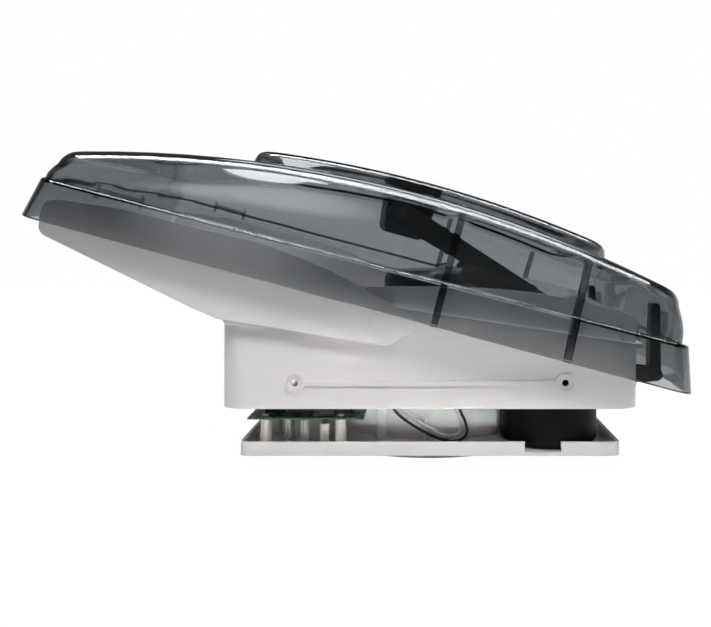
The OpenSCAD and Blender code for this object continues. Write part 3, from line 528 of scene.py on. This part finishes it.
net_count = int((net_r - NET_RIM) / NET_PITCH)
for i in range(-net_count, net_count + 1):
    offset = i * NET_PITCH
    reach = math.sqrt((net_r - NET_RIM / 2) ** 2 - offset ** 2)
    under = net_z - NET_LIFT
    over = net_z + NET_LIFT
    bar(net_mesh, Vector((-reach, offset, under)), Vector((reach, offset, under)), NET_WIRE)
    bar(net_mesh, Vector((offset, -reach, over)), Vector((offset, reach, over)), NET_WIRE)
rim_low = net_z - NET_RIM_H / 2
rim_high = net_z + NET_RIM_H / 2
rim_profile = [(net_r - NET_RIM, rim_low), (net_r, rim_low), (net_r, rim_high), (net_r - NET_RIM, rim_high)]
rim_rings = []
for i in range(NET_RIM_STEPS):
    a = 2 * math.pi * i / NET_RIM_STEPS
    rim_rings.append([net_mesh.verts.new((r * math.cos(a), r * math.sin(a), z)) for r, z in rim_profile])
for i in range(NET_RIM_STEPS):
    one, two = rim_rings[i], rim_rings[(i + 1) % NET_RIM_STEPS]
    for k in range(4):
        net_mesh.faces.new((one[k], two[k], two[(k + 1) % 4], one[(k + 1) % 4]))
bmesh.ops.recalc_face_normals(net_mesh, faces=net_mesh.faces)
stand_in("insect_net", net_mesh, "base_body", "screen_mesh", screen_wire)

# Nodes that stay: faces joined, flat faces cleared of seams, edges rounded by these widths in millimetres
EDGE_SEGMENTS = 2
EDGE_ROUND_MM = {
    "base_housing": 0.7, "ceiling_panel": 0.6, "panel_collar": 0.4, "panel_posts": 0.4,
    "screen_frame": 0.8, "duct_ring": 0.4, "fan_shroud": 0.5, "motor_bridge": 0.8, "fan_motor": 0.8,
    "fan": 0.5, "hub_nut": 0.5, "motor_shaft": 0.4,
    "circuit_board": 0.15, "board_parts": 0.5, "board_screws": 0.4, "tact_switches": 0.3,
    "signal_lamp": 0.2, "panel_screws": 0.6, "lift_drum": 0.6, "lift_gearbox": 1.0, "shaft_bearing": 0.8,
    "lift_shaft": 0.4, "lift_arms": 0.9, "arm_rollers": 0.4, "hinge_brackets": 0.6, "shield_studs": 0.5,
    "hinge_posts": 0.7, "hinge_pins": 0.5, "lift_tracks": 0.6, "power_button": 0.8, "speed_button": 0.8,
    "direction_button": 0.8, "lid_button": 0.8,
}


def smooth_by_angle():
    """A modifier tree that shades smooth up to the crease angle."""
    tree = bpy.data.node_groups.new("smooth_by_angle", "GeometryNodeTree")
    tree.interface.new_socket("Geometry", in_out="INPUT", socket_type="NodeSocketGeometry")
    tree.interface.new_socket("Geometry", in_out="OUTPUT", socket_type="NodeSocketGeometry")
    start = tree.nodes.new("NodeGroupInput")
    end = tree.nodes.new("NodeGroupOutput")
    angle = tree.nodes.new("GeometryNodeInputMeshEdgeAngle")
    soft = tree.nodes.new("FunctionNodeCompare")
    soft.operation = "LESS_THAN"
    soft.inputs[1].default_value = CREASE_ANGLE
    faces = tree.nodes.new("GeometryNodeSetShadeSmooth")
    faces.domain = "FACE"
    edges = tree.nodes.new("GeometryNodeSetShadeSmooth")
    edges.domain = "EDGE"
    tree.links.new(angle.outputs["Unsigned Angle"], soft.inputs[0])
    tree.links.new(start.outputs[0], faces.inputs["Geometry"])
    tree.links.new(faces.outputs["Geometry"], edges.inputs["Geometry"])
    tree.links.new(soft.outputs["Result"], edges.inputs["Shade Smooth"])
    tree.links.new(edges.outputs["Geometry"], end.inputs[0])
    return tree


smoothing = smooth_by_angle()
for node, width in EDGE_ROUND_MM.items():
    obj = nodes[node]
    weld = obj.modifiers.new("weld", "WELD")
    weld.merge_threshold = WELD_GAP
    flat = obj.modifiers.new("flat", "DECIMATE")
    flat.decimate_type = "DISSOLVE"
    flat.angle_limit = FLAT_ANGLE
    edge = obj.modifiers.new("edge", "BEVEL")
    edge.width = width * MM
    edge.segments = EDGE_SEGMENTS
    edge.limit_method = "ANGLE"
    edge.angle_limit = SHARP_ANGLE
    edge.use_clamp_overlap = True
    soft = obj.modifiers.new("soft", "NODES")
    soft.node_group = smoothing
    even_normals(obj)

# Chips scattered under the circuit board, clear of the duct
CHIP_SEED = 7
CHIP_COUNT = 36
CHIP_H = 1.1 * MM
CHIP_LENGTHS_MM = (2, 3, 4)
CHIP_WIDTHS_MM = (1.2, 1.6, 2.5)
CHIP_EDGE = 0.15 * MM
BOARD_MARGIN = 4 * MM
DUCT_CLEAR = 130 * MM
board_low, board_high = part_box("circuit_board")
chips = bmesh.new()
draw = random.Random(CHIP_SEED)
for _ in range(CHIP_COUNT):
    at = Vector((
        draw.uniform(board_low.x + BOARD_MARGIN, board_high.x - BOARD_MARGIN),
        draw.uniform(board_low.y + BOARD_MARGIN, board_high.y - BOARD_MARGIN),
        board_low.z - CHIP_H / 2,
    ))
    size = Vector((draw.choice(CHIP_LENGTHS_MM), draw.choice(CHIP_WIDTHS_MM), 0)) * MM
    if at.xy.length < DUCT_CLEAR:
        continue
    for v in bmesh.ops.create_cube(chips, size=1)["verts"]:
        v.co = Vector((v.co.x * size.x, v.co.y * size.y, v.co.z * CHIP_H)) + at
round_edges(chips, list(chips.edges), CHIP_EDGE, 1)
board_chips = mesh_object("board_chips", chips, chip_black)
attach(board_chips, "base_body")

# Floor: shown almost white where it is seen, with a faint shadow, and grey as a source of light
FLOOR_HALF = 12
FLOOR_GAP = 0.5 * MM
FLOOR_GREY = 0.3
FLOOR_SHADOW = 0.08
FLOOR_GLOW = 1.08


def seen_directly(tree):
    """One for rays from the camera, off gloss and through glass, and nought for the light on surfaces."""
    rays = tree.nodes.new("ShaderNodeLightPath")
    value = rays.outputs["Is Camera Ray"]
    for name in ("Is Glossy Ray", "Is Transmission Ray"):
        value = combine(tree, "MAXIMUM", value, rays.outputs[name])
    return value


floor_made, floor_tree, floor_shader = material("floor")
floor_shader.inputs["Base Color"].default_value = (FLOOR_GREY, FLOOR_GREY, FLOOR_GREY, 1)
floor_shader.inputs["Roughness"].default_value = 0.9
floor_glow = floor_tree.nodes.new("ShaderNodeEmission")
floor_glow.inputs["Strength"].default_value = FLOOR_GLOW
floor_share = combine(floor_tree, "MULTIPLY", seen_directly(floor_tree), 1 - FLOOR_SHADOW)
floor_mix = floor_tree.nodes.new("ShaderNodeMixShader")
floor_tree.links.new(floor_share, floor_mix.inputs["Fac"])
floor_tree.links.new(floor_shader.outputs["BSDF"], floor_mix.inputs[1])
floor_tree.links.new(floor_glow.outputs["Emission"], floor_mix.inputs[2])
floor_tree.links.new(floor_mix.outputs["Shader"], floor_tree.nodes["Material Output"].inputs["Surface"])
floor_mesh = bmesh.new()
bmesh.ops.create_grid(floor_mesh, x_segments=1, y_segments=1, size=FLOOR_HALF)
floor = mesh_object("floor", floor_mesh, floor_made)
floor.location.z = cad_low[2] - FLOOR_GAP

# World: white where it is seen, softer as light, and on gloss dim in front and above, with one soft glow
WORLD_LIGHT = 0.26
FRONT_GLOSS = 0.12
FRONT_FADE = (-0.5, 0.3)
CEILING_GLOSS = 0.12
CEILING_FADE = (0.10, 0.38)
GLOW_TOWARD = (-0.12, -0.90, 0.42)
GLOW_ANGLE = math.radians(10)
GLOW_GLOSS = 3.2
world = bpy.data.worlds.new("world")
scene.world = world
world.use_nodes = True
world_tree = world.node_tree
background = world_tree.nodes["Background"]
background.inputs["Color"].default_value = (1, 1, 1, 1)
strength = fade(world_tree, seen_directly(world_tree), 0, 1, WORLD_LIGHT, 1)
rays = world_tree.nodes.new("ShaderNodeLightPath")
place = world_tree.nodes.new("ShaderNodeTexCoord")
axes = world_tree.nodes.new("ShaderNodeSeparateXYZ")
world_tree.links.new(place.outputs["Generated"], axes.inputs["Vector"])
front = fade(world_tree, axes.outputs["Y"], *FRONT_FADE, FRONT_GLOSS, 1, "SMOOTHSTEP")
ceiling = fade(world_tree, axes.outputs["Z"], *CEILING_FADE, 1, CEILING_GLOSS, "SMOOTHSTEP")
dimmed = combine(world_tree, "MULTIPLY", front, ceiling)
toward = world_tree.nodes.new("ShaderNodeVectorMath")
toward.operation = "DOT_PRODUCT"
toward.inputs[1].default_value = Vector(GLOW_TOWARD).normalized()
world_tree.links.new(place.outputs["Generated"], toward.inputs[0])
glow = fade(world_tree, toward.outputs["Value"], math.cos(GLOW_ANGLE), 1, 0, GLOW_GLOSS, "SMOOTHSTEP")
gloss_share = world_tree.nodes.new("ShaderNodeMix")
gloss_share.inputs["A"].default_value = 1
world_tree.links.new(rays.outputs["Is Glossy Ray"], gloss_share.inputs["Factor"])
world_tree.links.new(combine(world_tree, "ADD", dimmed, glow), gloss_share.inputs["B"])
world_level = combine(world_tree, "MULTIPLY", strength, gloss_share.outputs["Result"])
world_tree.links.new(world_level, background.inputs["Strength"])

# Lamps: large ones and two low strips light the surfaces, the others only draw lines on the lid's gloss
VENT_MIDDLE = (-0.02, 0, 0.08)
EDGE_LAMP_Z = 1.90
EDGE_LINE_X = 0.95
EDGE_LINE_W = 1.6


def softbox(name, at, width, height, glow, aim=VENT_MIDDLE, shape="RECTANGLE", spread=180):
    """A flat lamp turned to a point, with its beam's angle in degrees. A narrower beam is brighter."""
    data = bpy.data.lights.new(name, "AREA")
    data.shape = shape
    data.size = width
    data.size_y = height
    data.spread = math.radians(spread)
    data.energy = glow * math.pi * width * height
    obj = link(bpy.data.objects.new(name, data))
    obj.location = at
    obj.rotation_euler = (Vector(aim) - Vector(at)).to_track_quat("-Z", "Y").to_euler()
    return obj


def edge_lamp(name, x, y, width, height, glow):
    """A lamp that looks straight down and shows on the lid's upper edges."""
    return softbox(name, (x, y, EDGE_LAMP_Z), width, height, glow, (x, y, 0))


for lamp in (
    softbox("key_box", (0.10, -1.45, 1.90), 1.0, 0.8, 1.35, (0.10, -0.15, 0.05), spread=50),
    softbox("top_box", (0.25, -0.35, 1.90), 0.7, 0.6, 7.0, (0.14, -0.05, 0.08), spread=40),
    softbox("fill_box", (0.05, -1.90, 0.06), 1.6, 0.6, 0.5),
    softbox("back_box", (0.20, 1.70, 1.30), 1.6, 1.0, 5.5),
    softbox("tray_strip", (-0.02, -0.95, -0.016), 0.5, 0.01, 1.4, (-0.02, 0, -0.016), spread=3),
    softbox("rim_strip", (0.03, -0.95, 0.058), 0.25, 0.01, 0.65, (0.03, 0, 0.058), spread=5),
):
    lamp.visible_glossy = False
for lamp in (
    softbox("wall_oval", (-0.30, -1.75, 2.00), 0.50, 1.50, 11, (-0.30, 0, 2.00), "ELLIPSE"),
    edge_lamp("edge_strip", -0.45, -0.25, 1.2, 0.60, 22),
    edge_lamp("edge_line_front", EDGE_LINE_X, -0.62, EDGE_LINE_W, 0.10, 16),
    edge_lamp("edge_line_middle", EDGE_LINE_X, -0.25, EDGE_LINE_W, 0.30, 20),
    edge_lamp("edge_line_back", EDGE_LINE_X, 0.15, EDGE_LINE_W, 0.14, 16),
):
    lamp.visible_diffuse = False
